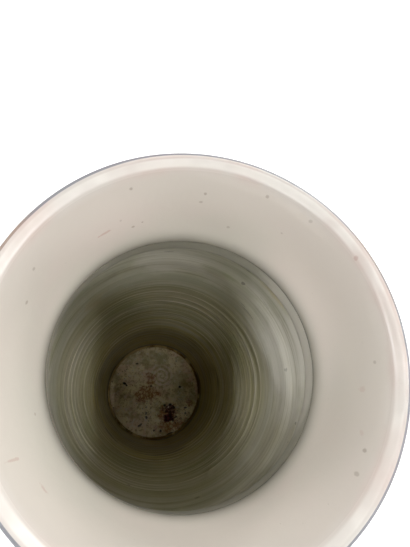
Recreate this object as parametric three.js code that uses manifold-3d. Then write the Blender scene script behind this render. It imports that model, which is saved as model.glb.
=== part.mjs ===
// A rouleau vase of glazed porcelain: thrown and turned sections, luted one on the other with slip.
// Millimetres, +Z up, with the origin at the centre of the face that it stands on.
import * as THREE from "three";
import { mergeVertices } from "three/addons/utils/BufferGeometryUtils.js";
import Module from "manifold-3d";

const wasm = await Module();
wasm.setup();

// Heights of the sections, from the foot up
const FOOT_HEIGHT = 7;
const LOWER_BODY_HEIGHT = 271.2;
const UPPER_BODY_HEIGHT = 74.4;
const SHOULDER_HEIGHT = 35.3;
const NECK_HEIGHT = 32.3;
const MOUTH_HEIGHT = 28.8;
const SLIP_THICKNESS = 1.2;

// Outer radius and wall thickness at each joint, and the radius of the lip. The body is widest
// at the shoulder joint, and its waist joint is narrower by the inset.
const FOOT_RADIUS = 62.6;
const FOOT_WALL = 8.9;
const BODY_RADIUS = 76.2;
const WAIST_INSET = 2.1;
const WAIST_WALL = 8;
const SHOULDER_WALL = 6.5;
const NECK_ROOT_RADIUS = 60.5;
const NECK_ROOT_WALL = 6.5;
const NECK_TOP_RADIUS = 51.6;
const NECK_TOP_WALL = 4.5;
const RIM_RADIUS = 61;

// How far the wall leans outward on its way up, in degrees from upright
const BODY_LEAN = 2.1;
const HEEL_LEAN = 14;
const NECK_ROOT_OUTER_LEAN = -52;
const NECK_ROOT_INNER_LEAN = -44;
const NECK_TOP_OUTER_LEAN = 8;
const NECK_TOP_INNER_LEAN = 16;
const THROAT_LEAN = -15;
const LIP_INNER_LEAN = 27;

// Foot ring, bevelled on both sides of the face that it stands on
const FOOT_BEVEL_WIDTH = 2.9;
const FOOT_BEVEL_HEIGHT = 3.4;
const FOOT_INNER_BEVEL = 1.8;

// Lower body, with the heel turned in towards the foot
const HEEL_HEIGHT = 14;
const HEEL_STEP = 2.2;

// Throwing ridges, one unbroken spiral up the inside of the lower body
const RIDGE_PITCH = 13;
const RIDGE_DEPTH = 0.5;
const RIDGES_ABOVE_JOINT = 44;
const RIDGES_BELOW_WAIST = 18;

// Base disc, with a groove round it and the thrower's button left off its centre
const DISC_THICKNESS = 5.8;
const DISC_BEARING = 2.4;
const DISC_CROWN = 1.2;
const DISC_EDGE_ROUND = 0.8;
const GROOVE_WIDTH = 2.5;
const GROOVE_SLIP_HEIGHT = 2.6;
const GROOVE_SLIP_CLEARANCE = 0.3;
const BUTTON_RADIUS = 9;
const BUTTON_HEIGHT = 1.5;
const BUTTON_X = 6.5;
const BUTTON_Y = 17.5;

// Neck, with a raised rib outside and its throat inside
const WAIST_OF_NECK_RADIUS = 50.8;
const RIB_HEIGHT = 4.8;
const RIB_DEPTH = 1.3;
const RIB_BELOW_TOP = 10.6;
const THROAT_RADIUS = 45.8;
const THROAT_BELOW_TOP = 6.3;
const THROAT_TURN = 3.4;

// Mouth, with an upright edge above its dished underside, and a lip that is rounder inside than outside
const MOUTH_EDGE_HEIGHT = 10.8;
const LIP_OUTER_ROUND = 1.9;
const LIP_INNER_ROUND = 3.4;

// Slip that stands proud of the wall inside a joint
const SLIP_BEAD_DEPTH = 0.9;

// Facets round the axis, and rows of facets on a ridge and on curves
const SEGMENTS = 42;
const ROWS_PER_RIDGE = 3;
const CURVE_STEPS = 6;
const SMALL_CURVE_STEPS = 3;
const BEAD_STEPS = 1;

const GLAZE_COLOUR = 0xe6e3d8;
const INNER_GLAZE_COLOUR = 0xb9b8a6;
const SLIP_COLOUR = 0xd8cfba;
const BISCUIT_COLOUR = 0xcbb79a;
const DISC_COLOUR = 0xa59c88;

const TURN = 2 * Math.PI;

// A joint is a bed of slip between two flat faces, with one outer and one inner radius
function joint(height, radius, wall) {
  return { low: height, high: height + SLIP_THICKNESS, outer: radius, inner: radius - wall };
}

const footJoint = joint(FOOT_HEIGHT, FOOT_RADIUS, FOOT_WALL);
const waistJoint = joint(footJoint.high + LOWER_BODY_HEIGHT, BODY_RADIUS - WAIST_INSET, WAIST_WALL);
const shoulderJoint = joint(waistJoint.high + UPPER_BODY_HEIGHT, BODY_RADIUS, SHOULDER_WALL);
const neckJoint = joint(shoulderJoint.high + SHOULDER_HEIGHT, NECK_ROOT_RADIUS, NECK_ROOT_WALL);
const mouthJoint = joint(neckJoint.high + NECK_HEIGHT, NECK_TOP_RADIUS, NECK_TOP_WALL);
const rimHeight = mouthJoint.high + MOUTH_HEIGHT;

const discRadius = footJoint.inner - GROOVE_WIDTH;
const footInnerRadius = discRadius - DISC_BEARING;
const restInnerRadius = footInnerRadius + FOOT_INNER_BEVEL;
const restOuterRadius = FOOT_RADIUS - FOOT_BEVEL_WIDTH;

// A point of a wall line: radius, height and lean
function at(radius, height, lean = 0) {
  return { radius, height, slope: Math.tan(THREE.MathUtils.degToRad(lean)) };
}

// Carries an outline on from one point of a wall line to the next, keeping the lean at both
function sweepTo(outline, from, to) {
  const third = (to.height - from.height) / 3;
  const leave = [from.radius + from.slope * third, from.height + third];
  const arrive = [to.radius - to.slope * third, to.height - third];
  outline.bezierCurveTo(...leave, ...arrive, to.radius, to.height);
}

// Turns a closed outline, radius across and height up, round the vase's axis
function turned(outline, steps = CURVE_STEPS) {
  const points = outline.getPoints(steps);
  points.push(points[0].clone());
  return new THREE.LatheGeometry(points, SEGMENTS).rotateX(Math.PI / 2);
}

function section(name, geometry, color, roughness = 0.25) {
  const mesh = new THREE.Mesh(geometry, new THREE.MeshStandardMaterial({ color, roughness, metalness: 0 }));
  mesh.name = name;
  return mesh;
}

// A flat washer of slip, rounded where it is squeezed out of the joint inside the vase
function slipSeam(name, place, bead = SLIP_BEAD_DEPTH) {
  const outline = new THREE.Path();
  outline.moveTo(place.outer, place.low);
  outline.lineTo(place.outer, place.high);
  outline.lineTo(place.inner, place.high);
  if (bead > 0) {
    const middle = (place.low + place.high) / 2;
    outline.absellipse(place.inner, middle, bead, SLIP_THICKNESS / 2, Math.PI / 2, 1.5 * Math.PI, false, 0);
  } else {
    outline.lineTo(place.inner, place.low);
  }
  return section(name, turned(outline, BEAD_STEPS), SLIP_COLOUR, 0.6);
}

function footRing() {
  const outline = new THREE.Path();
  outline.moveTo(restInnerRadius, 0);
  outline.lineTo(restOuterRadius, 0);
  outline.lineTo(FOOT_RADIUS, FOOT_BEVEL_HEIGHT);
  outline.lineTo(FOOT_RADIUS, footJoint.low);
  outline.lineTo(footInnerRadius, footJoint.low);
  outline.lineTo(footInnerRadius, FOOT_INNER_BEVEL);
  return section("foot_ring", turned(outline), BISCUIT_COLOUR, 0.8);
}

// The bed of slip under the wall and the base disc, squeezed up into the groove between them
function footSlipSeam() {
  const upstandTop = footJoint.high + GROOVE_SLIP_HEIGHT;
  const upstandOuter = footJoint.inner - GROOVE_SLIP_CLEARANCE;
  const upstandInner = discRadius + GROOVE_SLIP_CLEARANCE;
  const upstandMiddle = (upstandOuter + upstandInner) / 2;
  const outline = new THREE.Path();
  outline.moveTo(footInnerRadius, footJoint.low);
  outline.lineTo(footJoint.outer, footJoint.low);
  outline.lineTo(footJoint.outer, footJoint.high);
  outline.lineTo(upstandOuter, footJoint.high);
  outline.quadraticCurveTo(upstandOuter, upstandTop, upstandMiddle, upstandTop);
  outline.quadraticCurveTo(upstandInner, upstandTop, upstandInner, footJoint.high);
  outline.lineTo(footInnerRadius, footJoint.high);
  return section("foot_slip_seam", turned(outline, SMALL_CURVE_STEPS), SLIP_COLOUR, 0.6);
}

function asSolid(geometry) {
  const shape = geometry.clone();
  shape.deleteAttribute("normal");
  shape.deleteAttribute("uv");
  const merged = mergeVertices(shape, 1e-4);
  const vertProperties = new Float32Array(merged.attributes.position.array);
  const triVerts = new Uint32Array(merged.index.array);
  return new wasm.Manifold(new wasm.Mesh({ numProp: 3, vertProperties, triVerts }));
}

function asGeometry(solid) {
  const { vertProperties, triVerts } = solid.getMesh();
  const geometry = new THREE.BufferGeometry();
  geometry.setAttribute("position", new THREE.BufferAttribute(vertProperties, 3));
  geometry.setIndex(new THREE.BufferAttribute(triVerts, 1));
  geometry.computeVertexNormals();
  return geometry;
}

// A low round-topped button, sunk into the disc's crown where the thrower's finger left it
function throwersButton(floorHeight) {
  const root = floorHeight - DISC_THICKNESS / 2;
  const peak = floorHeight + BUTTON_HEIGHT;
  const outline = new THREE.Path();
  outline.moveTo(0, root);
  outline.lineTo(BUTTON_RADIUS, root);
  outline.lineTo(BUTTON_RADIUS, floorHeight);
  outline.quadraticCurveTo(BUTTON_RADIUS / 2, floorHeight, BUTTON_RADIUS / 2, (floorHeight + peak) / 2);
  outline.quadraticCurveTo(BUTTON_RADIUS / 2, peak, 0, peak);
  const points = outline.getPoints(SMALL_CURVE_STEPS);
  const geometry = new THREE.LatheGeometry(points, SEGMENTS / 2).rotateX(Math.PI / 2);
  return geometry.translate(BUTTON_X, BUTTON_Y, 0);
}

function baseDisc() {
  const edgeHeight = footJoint.high + DISC_THICKNESS;
  const crownHeight = edgeHeight + DISC_CROWN;
  const outline = new THREE.Path();
  outline.moveTo(0, footJoint.high);
  outline.lineTo(discRadius, footJoint.high);
  outline.lineTo(discRadius, edgeHeight - DISC_EDGE_ROUND);
  outline.quadraticCurveTo(discRadius, edgeHeight, discRadius - DISC_EDGE_ROUND, edgeHeight);
  outline.quadraticCurveTo(discRadius / 2, crownHeight, 0, crownHeight);
  const points = outline.getPoints(SMALL_CURVE_STEPS);
  const plate = new THREE.LatheGeometry(points, SEGMENTS).rotateX(Math.PI / 2);
  const joined = asSolid(plate).add(asSolid(throwersButton(crownHeight - DISC_CROWN / 3)));
  return section("base_disc", asGeometry(joined), DISC_COLOUR, 0.7);
}

// A point of the vase at a turn round its axis, measured as LatheGeometry measures it
function around(radius, height, turns) {
  return [radius * Math.sin(TURN * turns), -radius * Math.cos(TURN * turns), height];
}

// A closed band of facets between two rings of vertex numbers, facing away from the solid
function bandBetween(lower, upper, triangles) {
  for (let column = 0; column < SEGMENTS; column += 1) {
    const next = (column + 1) % SEGMENTS;
    triangles.push(lower[column], lower[next], upper[next]);
    triangles.push(lower[column], upper[next], upper[column]);
  }
}

function addRing(vertices, radius, height) {
  const first = vertices.length;
  for (let column = 0; column < SEGMENTS; column += 1) {
    vertices.push(around(radius, height, column / SEGMENTS));
  }
  return Array.from({ length: SEGMENTS }, (_, column) => first + column);
}

// One unbroken spiral of ridges between two level rings. Rows of facets climb one pitch in a turn,
// so that crests stay sharp, and a row that has run past a level ring ends in that ring.
function spiralBand(vertices, triangles, wallAt, lower, upper, bottom, top) {
  const turns = (top - bottom) / RIDGE_PITCH;
  const lastRow = Math.ceil(turns * ROWS_PER_RIDGE);
  const made = new Map();
  const vertexAt = (row, column) => {
    if (column === SEGMENTS) return vertexAt(row + ROWS_PER_RIDGE, 0);
    const climbed = row / ROWS_PER_RIDGE + column / SEGMENTS;
    if (climbed <= 0) return lower[column];
    if (climbed >= turns) return upper[column];
    const key = row * SEGMENTS + column;
    if (!made.has(key)) {
      const height = bottom + climbed * RIDGE_PITCH;
      const fade = Math.min(1, climbed, turns - climbed);
      const crest = row % ROWS_PER_RIDGE === 0 ? RIDGE_DEPTH * fade : 0;
      vertices.push(around(wallAt(height) - crest, height, column / SEGMENTS));
      made.set(key, vertices.length - 1);
    }
    return made.get(key);
  };
  const facet = (a, b, c) => {
    if (a !== b && b !== c && c !== a) triangles.push(a, b, c);
  };
  for (let column = 0; column < SEGMENTS; column += 1) {
    for (let row = -ROWS_PER_RIDGE; row < lastRow; row += 1) {
      const corner = vertexAt(row, column);
      const across = vertexAt(row + 1, column + 1);
      facet(corner, vertexAt(row + 1, column), across);
      facet(corner, across, vertexAt(row, column + 1));
    }
  }
}

function lowerBody() {
  const bottom = footJoint.high;
  const top = waistJoint.low;
  const wallAt = (height) =>
    THREE.MathUtils.mapLinear(height, bottom, top, footJoint.inner, waistJoint.inner);
  const heel = at(footJoint.outer + HEEL_STEP, bottom + HEEL_HEIGHT, BODY_LEAN);
  const outline = new THREE.Path();
  outline.moveTo(footJoint.outer, bottom);
  sweepTo(outline, at(footJoint.outer, bottom, HEEL_LEAN), heel);
  sweepTo(outline, heel, at(waistJoint.outer, top, BODY_LEAN));

  const vertices = [];
  const triangles = [];
  const outside = outline.getPoints(SMALL_CURVE_STEPS).map((p) => addRing(vertices, p.x, p.y));
  const inside = [bottom, bottom + RIDGES_ABOVE_JOINT, top - RIDGES_BELOW_WAIST, top];
  const rings = inside.map((height) => addRing(vertices, wallAt(height), height));
  for (let i = 1; i < outside.length; i += 1) bandBetween(outside[i - 1], outside[i], triangles);
  bandBetween(outside.at(-1), rings[3], triangles);
  bandBetween(rings[3], rings[2], triangles);
  spiralBand(vertices, triangles, wallAt, rings[1], rings[2], inside[1], inside[2]);
  bandBetween(rings[1], rings[0], triangles);
  bandBetween(rings[0], outside[0], triangles);

  const geometry = new THREE.BufferGeometry();
  geometry.setAttribute("position", new THREE.Float32BufferAttribute(vertices.flat(), 3));
  geometry.setIndex(triangles);
  geometry.computeVertexNormals();
  return section("lower_body", geometry, INNER_GLAZE_COLOUR);
}

function upperBody() {
  const outerFoot = at(waistJoint.outer, waistJoint.high, BODY_LEAN);
  const outerTop = at(shoulderJoint.outer, shoulderJoint.low);
  const innerTop = at(shoulderJoint.inner, shoulderJoint.low);
  const innerFoot = at(waistJoint.inner, waistJoint.high, BODY_LEAN);
  const outline = new THREE.Path();
  outline.moveTo(outerFoot.radius, outerFoot.height);
  sweepTo(outline, outerFoot, outerTop);
  outline.lineTo(innerTop.radius, innerTop.height);
  sweepTo(outline, innerTop, innerFoot);
  return section("upper_body", turned(outline, SMALL_CURVE_STEPS), GLAZE_COLOUR);
}

function shoulder() {
  const outerFoot = at(shoulderJoint.outer, shoulderJoint.high);
  const outerTop = at(neckJoint.outer, neckJoint.low, NECK_ROOT_OUTER_LEAN);
  const innerTop = at(neckJoint.inner, neckJoint.low, NECK_ROOT_INNER_LEAN);
  const innerFoot = at(shoulderJoint.inner, shoulderJoint.high);
  const outline = new THREE.Path();
  outline.moveTo(outerFoot.radius, outerFoot.height);
  sweepTo(outline, outerFoot, outerTop);
  outline.lineTo(innerTop.radius, innerTop.height);
  sweepTo(outline, innerTop, innerFoot);
  return section("shoulder", turned(outline), GLAZE_COLOUR);
}

function neck() {
  const bottom = neckJoint.high;
  const top = mouthJoint.low;
  const ribMiddle = top - RIB_BELOW_TOP;
  const ribHalf = RIB_HEIGHT / 2;
  const ribFoot = at(WAIST_OF_NECK_RADIUS, ribMiddle - ribHalf);
  const ribTop = at(WAIST_OF_NECK_RADIUS, ribMiddle + ribHalf);
  const outerTop = at(mouthJoint.outer, top, NECK_TOP_OUTER_LEAN);
  const innerTop = at(mouthJoint.inner, top, NECK_TOP_INNER_LEAN);
  const throat = at(THROAT_RADIUS, top - THROAT_BELOW_TOP);
  const opening = (THROAT_TURN * Math.tan(THREE.MathUtils.degToRad(-THROAT_LEAN))) / 2;
  const underThroat = at(throat.radius + opening, throat.height - THROAT_TURN, THROAT_LEAN);
  const outline = new THREE.Path();
  outline.moveTo(neckJoint.outer, bottom);
  sweepTo(outline, at(neckJoint.outer, bottom, NECK_ROOT_OUTER_LEAN), ribFoot);
  outline.absellipse(ribFoot.radius, ribMiddle, RIB_DEPTH, ribHalf, -Math.PI / 2, Math.PI / 2, false, 0);
  sweepTo(outline, ribTop, outerTop);
  outline.lineTo(innerTop.radius, top);
  sweepTo(outline, innerTop, throat);
  sweepTo(outline, throat, underThroat);
  sweepTo(outline, underThroat, at(neckJoint.inner, bottom, NECK_ROOT_INNER_LEAN));
  return section("neck", turned(outline, SMALL_CURVE_STEPS), GLAZE_COLOUR);
}

function mouthRim() {
  const lipFoot = rimHeight - LIP_OUTER_ROUND;
  const lipCrest = RIM_RADIUS - LIP_OUTER_ROUND;
  const innerCentre = rimHeight - LIP_INNER_ROUND;
  const lipTurn = Math.PI - THREE.MathUtils.degToRad(LIP_INNER_LEAN);
  const lipEnd = new THREE.Vector2(Math.cos(lipTurn), Math.sin(lipTurn)).multiplyScalar(LIP_INNER_ROUND);
  const outerFoot = at(mouthJoint.outer, mouthJoint.high, NECK_TOP_OUTER_LEAN);
  const edgeFoot = at(RIM_RADIUS, lipFoot - MOUTH_EDGE_HEIGHT);
  const innerTop = at(lipCrest + lipEnd.x, innerCentre + lipEnd.y, LIP_INNER_LEAN);
  const innerFoot = at(mouthJoint.inner, mouthJoint.high, NECK_TOP_INNER_LEAN);
  const outline = new THREE.Path();
  outline.moveTo(outerFoot.radius, outerFoot.height);
  sweepTo(outline, outerFoot, edgeFoot);
  outline.absarc(lipCrest, lipFoot, LIP_OUTER_ROUND, 0, Math.PI / 2, false);
  outline.absarc(lipCrest, innerCentre, LIP_INNER_ROUND, Math.PI / 2, lipTurn, false);
  sweepTo(outline, innerTop, innerFoot);
  return section("mouth_rim", turned(outline, SMALL_CURVE_STEPS), GLAZE_COLOUR);
}

const vase = new THREE.Group();
vase.add(
  footRing(),
  footSlipSeam(),
  baseDisc(),
  lowerBody(),
  slipSeam("waist_slip_seam", waistJoint),
  upperBody(),
  slipSeam("shoulder_slip_seam", shoulderJoint),
  shoulder(),
  slipSeam("neck_slip_seam", neckJoint),
  neck(),
  slipSeam("mouth_slip_seam", mouthJoint, 0),
  mouthRim(),
);

export default vase;
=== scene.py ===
"""Dresses a rouleau vase in glaze, slip and biscuit, and looks straight down into its mouth.

The vase is thrown in sections that are luted one on the other. Every section and every joint of slip
is turned here from its own outline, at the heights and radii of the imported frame, and then gets what
the wheel, the kiln and use have left on it.
"""
import logging
import math
from collections.abc import Callable, Iterable
from dataclasses import dataclass
from enum import Enum

import bpy
import numpy as np
from mathutils import Matrix, Vector


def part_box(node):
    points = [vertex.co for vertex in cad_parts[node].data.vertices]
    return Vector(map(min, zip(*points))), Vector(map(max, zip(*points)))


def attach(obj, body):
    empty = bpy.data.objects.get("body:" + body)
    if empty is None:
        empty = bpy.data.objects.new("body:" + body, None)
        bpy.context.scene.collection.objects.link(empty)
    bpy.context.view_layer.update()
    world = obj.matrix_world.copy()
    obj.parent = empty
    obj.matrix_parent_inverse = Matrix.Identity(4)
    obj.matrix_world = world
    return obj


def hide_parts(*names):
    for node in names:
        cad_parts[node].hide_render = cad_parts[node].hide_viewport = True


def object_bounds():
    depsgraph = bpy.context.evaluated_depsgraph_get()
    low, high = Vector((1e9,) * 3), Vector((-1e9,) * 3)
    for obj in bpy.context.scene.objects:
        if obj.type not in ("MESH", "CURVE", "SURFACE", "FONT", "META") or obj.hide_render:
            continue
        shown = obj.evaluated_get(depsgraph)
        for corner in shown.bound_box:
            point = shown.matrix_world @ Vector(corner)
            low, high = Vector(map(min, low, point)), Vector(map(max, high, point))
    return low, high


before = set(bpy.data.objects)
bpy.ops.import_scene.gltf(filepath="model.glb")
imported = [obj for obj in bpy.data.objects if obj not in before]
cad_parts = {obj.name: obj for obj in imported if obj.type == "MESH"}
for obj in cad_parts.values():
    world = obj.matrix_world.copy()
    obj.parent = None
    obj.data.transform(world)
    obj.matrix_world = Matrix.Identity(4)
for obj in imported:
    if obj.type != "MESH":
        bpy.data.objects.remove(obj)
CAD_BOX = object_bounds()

LOG = logging.getLogger("vase")
MM = 0.001
TURN = 2 * math.pi
BODY = "root"
WHITE = (1.0, 1.0, 1.0)

WHEEL_STEPS = 256
SMOOTH_ANGLE = math.radians(38)
MERGE_DISTANCE = 0.002 * MM
RIDGE_PITCH = 13.0 * MM
THROAT_RADIUS = 45.8 * MM

Point = tuple[float, float]
Triple = tuple[float, float, float]
Colour = Triple
Array = np.ndarray
Material = bpy.types.Material
Rule = Callable[[Array, Array, Array], tuple[Array, Array]]
Choice = Callable[[bpy.types.MeshPolygon], bool]


class Slot(Enum):
    """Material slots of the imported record."""

    OUTER = "outer_glaze"
    INNER = "inner_glaze"
    SLIP = "slip"
    BISCUIT = "biscuit"
    FLOOR = "floor_disc"


@dataclass(frozen=True)
class End:
    """A point of a wall line: radius and height in metres, and the lean from upright in degrees."""

    radius: float
    height: float
    lean: float = 0.0

    @property
    def slope(self) -> float:
        """How much the radius grows for each metre of height."""
        return math.tan(math.radians(self.lean))


class Outline:
    """The outline of a turned piece, drawn point by point, radius across and height up."""

    def __init__(self, radius: float, height: float) -> None:
        """Starts the outline at a point."""
        self.points: list[Point] = [(radius, height)]

    def line(self, radius: float, height: float, steps: int = 1) -> "Outline":
        """Goes straight to a point.

        Args:
            radius: Radius of the point, in metres.
            height: Height of the point, in metres.
            steps: Equal stretches that the line is cut into.

        Returns:
            The outline itself.
        """
        start = self.points[-1]
        for step in range(1, steps + 1):
            share = step / steps
            self.points.append((start[0] + (radius - start[0]) * share, start[1] + (height - start[1]) * share))
        return self

    def sweep(self, start: End, end: End, steps: int) -> "Outline":
        """Goes on in one smooth curve that keeps the lean at both ends.

        Args:
            start: Where the outline stands now.
            end: Where the curve arrives.
            steps: Stretches that the curve is cut into.

        Returns:
            The outline itself.
        """
        rise = end.height - start.height
        for step in range(1, steps + 1):
            t = step / steps
            radius = (
                start.radius * (2 * t**3 - 3 * t**2 + 1)
                + start.slope * rise * (t**3 - 2 * t**2 + t)
                + end.radius * (3 * t**2 - 2 * t**3)
                + end.slope * rise * (t**3 - t**2)
            )
            self.points.append((radius, start.height + rise * t))
        return self

    def arc(self, centre: Point, size: Point, turn: Point, steps: int) -> "Outline":
        """Goes round part of an ellipse.

        Args:
            centre: Radius and height of its centre, in metres.
            size: Its half width and half height, in metres.
            turn: First and last angle, in degrees.
            steps: Stretches that the arc is cut into.

        Returns:
            The outline itself.
        """
        for step in range(1, steps + 1):
            angle = math.radians(turn[0] + (turn[1] - turn[0]) * step / steps)
            self.points.append((centre[0] + size[0] * math.cos(angle), centre[1] + size[1] * math.sin(angle)))
        return self


def turned(name: str, outline: Outline) -> bpy.types.Object:
    """Turns an outline round the vase's axis.

    Args:
        name: The piece's name.
        outline: Its outline. One that doesn't start on the axis is closed on itself.

    Returns:
        The new piece, as one closed mesh.
    """
    points = list(outline.points)
    if points[0][0] > 0:
        points.append(points[0])
    bpy.ops.object.select_all(action="DESELECT")
    bpy.ops.mesh.primitive_plane_add(size=MM)
    piece = bpy.context.active_object
    piece.name = name
    piece.data.name = name
    bpy.ops.object.mode_set(mode="EDIT")
    bpy.ops.mesh.select_all(action="SELECT")
    bpy.ops.mesh.merge(type="CENTER")
    bpy.ops.transform.translate(value=(points[0][0], 0, points[0][1]))
    for here, there in zip(points, points[1:]):
        step = (there[0] - here[0], 0, there[1] - here[1])
        bpy.ops.mesh.extrude_vertices_move(TRANSFORM_OT_translate={"value": step})
    bpy.ops.mesh.select_all(action="SELECT")
    bpy.ops.mesh.remove_doubles(threshold=MERGE_DISTANCE)
    bpy.ops.mesh.spin(steps=WHEEL_STEPS, angle=TURN, center=(0, 0, 0), axis=(0, 0, 1))
    bpy.ops.mesh.select_all(action="SELECT")
    bpy.ops.mesh.remove_doubles(threshold=MERGE_DISTANCE)
    bpy.ops.mesh.normals_make_consistent(inside=False)
    bpy.ops.object.mode_set(mode="OBJECT")
    bpy.ops.object.shade_smooth_by_angle(angle=SMOOTH_ANGLE)
    return piece


def reshape(piece: bpy.types.Object, rule: Rule) -> None:
    """Moves a piece's vertices in cylinder coordinates.

    Args:
        piece: The piece to change.
        rule: Takes the turn round the axis from 0 to 1, the radius and the height of every vertex,
            and gives their new radius and height.
    """
    mesh = piece.data
    flat = np.empty(len(mesh.vertices) * 3)
    mesh.vertices.foreach_get("co", flat)
    place = flat.reshape(-1, 3)
    radius = np.hypot(place[:, 0], place[:, 1])
    angle = np.arctan2(place[:, 0], -place[:, 1])
    radius, height = rule(np.mod(angle / TURN, 1), radius, place[:, 2].copy())
    moved = np.stack([radius * np.sin(angle), -radius * np.cos(angle), height], 1)
    mesh.vertices.foreach_set("co", moved.ravel())
    mesh.update()


def waver(turn: Array, radius: Array, height: Array) -> tuple[Array, Array]:
    """The slight oval and unevenness that throwing and firing leave on every section.

    Args:
        turn: Turns round the axis.
        radius: Radii, in metres.
        height: Heights, in metres.

    Returns:
        New radii and heights. Neighbours that meet at a joint are moved alike.
    """
    angle = TURN * turn
    oval = 0.0016 * np.cos(2 * angle + 0.9 + 9 * height) + 0.0009 * np.cos(3 * angle - 1.7 + 21 * height)
    warp = 0.14 * MM * np.cos(2 * angle - 0.6) + 0.06 * MM * np.cos(5 * angle + 1.2)
    near_rim = np.clip((height - 0.43) / 0.025, 0, 1) ** 2
    return radius * (1 + oval), height + warp * near_rim


def inwards(face: bpy.types.MeshPolygon) -> bool:
    """Tells whether a face looks at the vase's axis."""
    return face.normal.x * face.center.x + face.normal.y * face.center.y <= 0


def dress(piece: bpy.types.Object, *finishes: Material, second: Choice | None = None) -> None:
    """Gives a piece its finishes.

    Args:
        piece: The piece.
        finishes: Its finish, and a second one for some of its faces.
        second: Tells which faces take the second finish.
    """
    piece.data.materials.clear()
    for finish in finishes:
        piece.data.materials.append(finish)
    if second:
        for face in piece.data.polygons:
            face.material_index = int(second(face))


def add_piece(name: str, node: str, slot: Slot, outline: Outline, *finishes: Material,
              second: Choice | None = None, rules: Iterable[Rule] = (waver,)) -> None:
    """Turns, shapes and dresses a piece, and puts it in the place of its CAD node.

    Args:
        name: The piece's name.
        node: The CAD node that it stands for.
        slot: Not used.
        outline: Its outline.
        finishes: Its finish, and a second one for some of its faces.
        second: Tells which faces take the second finish.
        rules: What moves its vertices, in turn.
    """
    piece = turned(name, outline)
    for rule in rules:
        reshape(piece, rule)
    dress(piece, *finishes, second=second)
    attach(piece, BODY)
    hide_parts(node)
    LOG.info("%s: %d faces", piece.name, len(piece.data.polygons))


@dataclass(frozen=True)
class Joint:
    """A bed of slip between two sections: its two flat faces and its two radii, in metres."""

    low: float
    high: float
    outer: float
    inner: float
    outer_lean: float
    inner_lean: float

    @classmethod
    def read(cls, seam: str, above: str, wall: float, outer_lean: float = 0.0, inner_lean: float = 0.0) -> "Joint":
        """Reads a joint from the frame.

        Args:
            seam: Node of the slip.
            above: Node of the section that stands on it.
            wall: Thickness of the wall there, in metres.
            outer_lean: Lean of the outer wall line that runs through it, in degrees.
            inner_lean: Lean of the inner one, in degrees.

        Returns:
            The joint.
        """
        low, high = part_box(seam)
        return cls(low.z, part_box(above)[0].z, high.x, high.x - wall, outer_lean, inner_lean)

    def _at(self, height: float, line: End) -> End:
        """The point at a height on the wall line that passes the joint's middle at a radius and lean."""
        return End(line.radius + line.slope * (height - line.height), height, line.lean)

    def outside(self, height: float) -> End:
        """The outer wall line's point at a height in or beside the joint."""
        return self._at(height, End(self.outer, (self.low + self.high) / 2, self.outer_lean))

    def inside(self, height: float) -> End:
        """The inner wall line's point at a height in or beside the joint."""
        return self._at(height, End(self.inner, (self.low + self.high) / 2, self.inner_lean))


@dataclass(frozen=True)
class Mark:
    """A stain, pit or streak at one place: its centre, half sizes and turn in space, and how strong it is."""

    place: Triple
    half: Triple
    turn: Triple
    strength: float
    ragged: float
    grain: float

    @classmethod
    def on_wall(cls, azimuth: float, height: float, radius: float, wide: float, tall: float,
                tilt: float = 0.0, strength: float = 1.0, ragged: float = 0.5, grain: float = 500.0) -> "Mark":
        """Puts a mark on an upright wall.

        Args:
            azimuth: Its angle round the axis from +X, in degrees.
            height: Its height, in millimetres.
            radius: The wall's radius there, in millimetres.
            wide: Half its width along the wall, in millimetres.
            tall: Half its height, in millimetres.
            tilt: Its turn in the wall's own plane, in degrees.
            strength: How much of the colour it takes.
            ragged: How far noise moves its edge, as a part of its size.
            grain: Scale of that noise.

        Returns:
            The mark.
        """
        angle = math.radians(azimuth)
        place = (radius * math.cos(angle) * MM, radius * math.sin(angle) * MM, height * MM)
        deep = 6 * max(wide, tall)
        half = (deep * MM, wide * MM, tall * MM)
        return cls(place, half, (math.radians(tilt), 0.0, angle), strength, ragged, grain)

    @classmethod
    def on_floor(cls, x: float, y: float, wide: float, long: float, turn: float = 0.0,
                 strength: float = 1.0, ragged: float = 0.6, grain: float = 500.0) -> "Mark":
        """Puts a mark on the base disc.

        Args:
            x: Its place along X, in millimetres.
            y: Its place along Y, in millimetres.
            wide: Half its width, in millimetres.
            long: Half its length, in millimetres.
            turn: Its turn, in degrees.
            strength: How much of the colour it takes.
            ragged: How far noise moves its edge, as a part of its size.
            grain: Scale of that noise.

        Returns:
            The mark.
        """
        half = (wide * MM, long * MM, 20 * MM)
        return cls((x * MM, y * MM, 15 * MM), half, (0.0, 0.0, math.radians(turn)), strength, ragged, grain)


def wall_marks(*rows: tuple[float, ...]) -> tuple[Mark, ...]:
    """Puts a mark on the wall for each row, which holds what Mark.on_wall takes, in its order."""
    return tuple(Mark.on_wall(*row) for row in rows)


def floor_marks(*rows: tuple[float, ...]) -> tuple[Mark, ...]:
    """Puts a mark on the base disc for each row, which holds what Mark.on_floor takes, in its order."""
    return tuple(Mark.on_floor(*row) for row in rows)


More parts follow.
